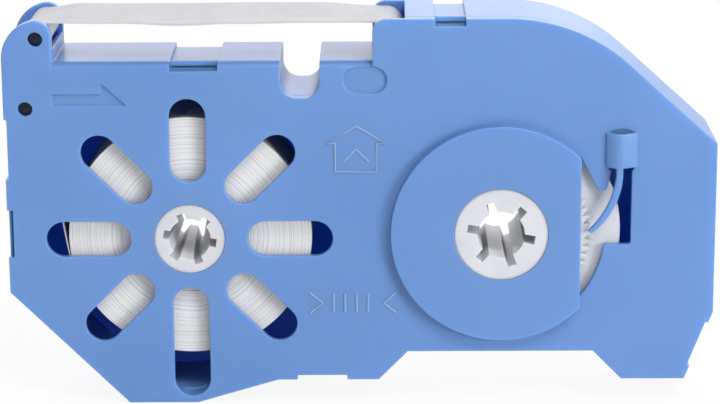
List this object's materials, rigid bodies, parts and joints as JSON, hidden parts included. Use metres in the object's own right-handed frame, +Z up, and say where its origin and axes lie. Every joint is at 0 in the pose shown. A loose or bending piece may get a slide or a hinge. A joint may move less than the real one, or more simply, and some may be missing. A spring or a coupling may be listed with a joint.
{
  "type": "label tape cassette",
  "caption": "Flat blue plastic cassette with a supply roll of white label tape, guide pins and a ratcheted take-up reel.",
  "frame": {"origin": "bottom centre of the cassette's bounding box, the cassette standing upright as in the picture", "axes": "+X to the right across the front, +Y from the front cover to the back, +Z up"},
  "size_m": [0.0976, 0.0166, 0.0545],
  "materials": {
    "case_plastic": "fine moulded satin",
    "white_plastic": "natural moulded",
    "tape": "smooth film",
    "pin_steel": "ground"
  },
  "bodies": {
    "case": {"front_cover": "case_plastic", "rear_shell": "case_plastic", "tape_span": "tape", "high_guide_pin": "pin_steel", "low_guide_pin": "pin_steel"},
    "supply_reel": {"supply_core": "white_plastic", "supply_tape_roll": "tape"},
    "take_up": {"take_up_reel": "white_plastic", "take_up_wraps": "tape"},
    "high_sleeve": {"high_guide_sleeve": "white_plastic"},
    "entry_sleeve": {"entry_guide_sleeve": "white_plastic"}
  },
  "joints": [
    {"name": "supply_reel_spin", "type": "hinge", "parent": "case", "child": "supply_reel", "pos_m": [-0.0237, 0, 0.0238], "axis": [0, 1, 0], "continuous": true},
    {"name": "take_up_spin", "type": "hinge", "parent": "case", "child": "take_up", "pos_m": [0.01925, 0, 0.02465], "axis": [0, 1, 0], "continuous": true},
    {"name": "high_sleeve_spin", "type": "hinge", "parent": "case", "child": "high_sleeve", "pos_m": [-0.04407, 0, 0.05193], "axis": [0, 1, 0], "continuous": true},
    {"name": "entry_sleeve_spin", "type": "hinge", "parent": "case", "child": "entry_sleeve", "pos_m": [0.0037, 0, 0.0519], "axis": [0, 1, 0], "continuous": true}
  ]
}
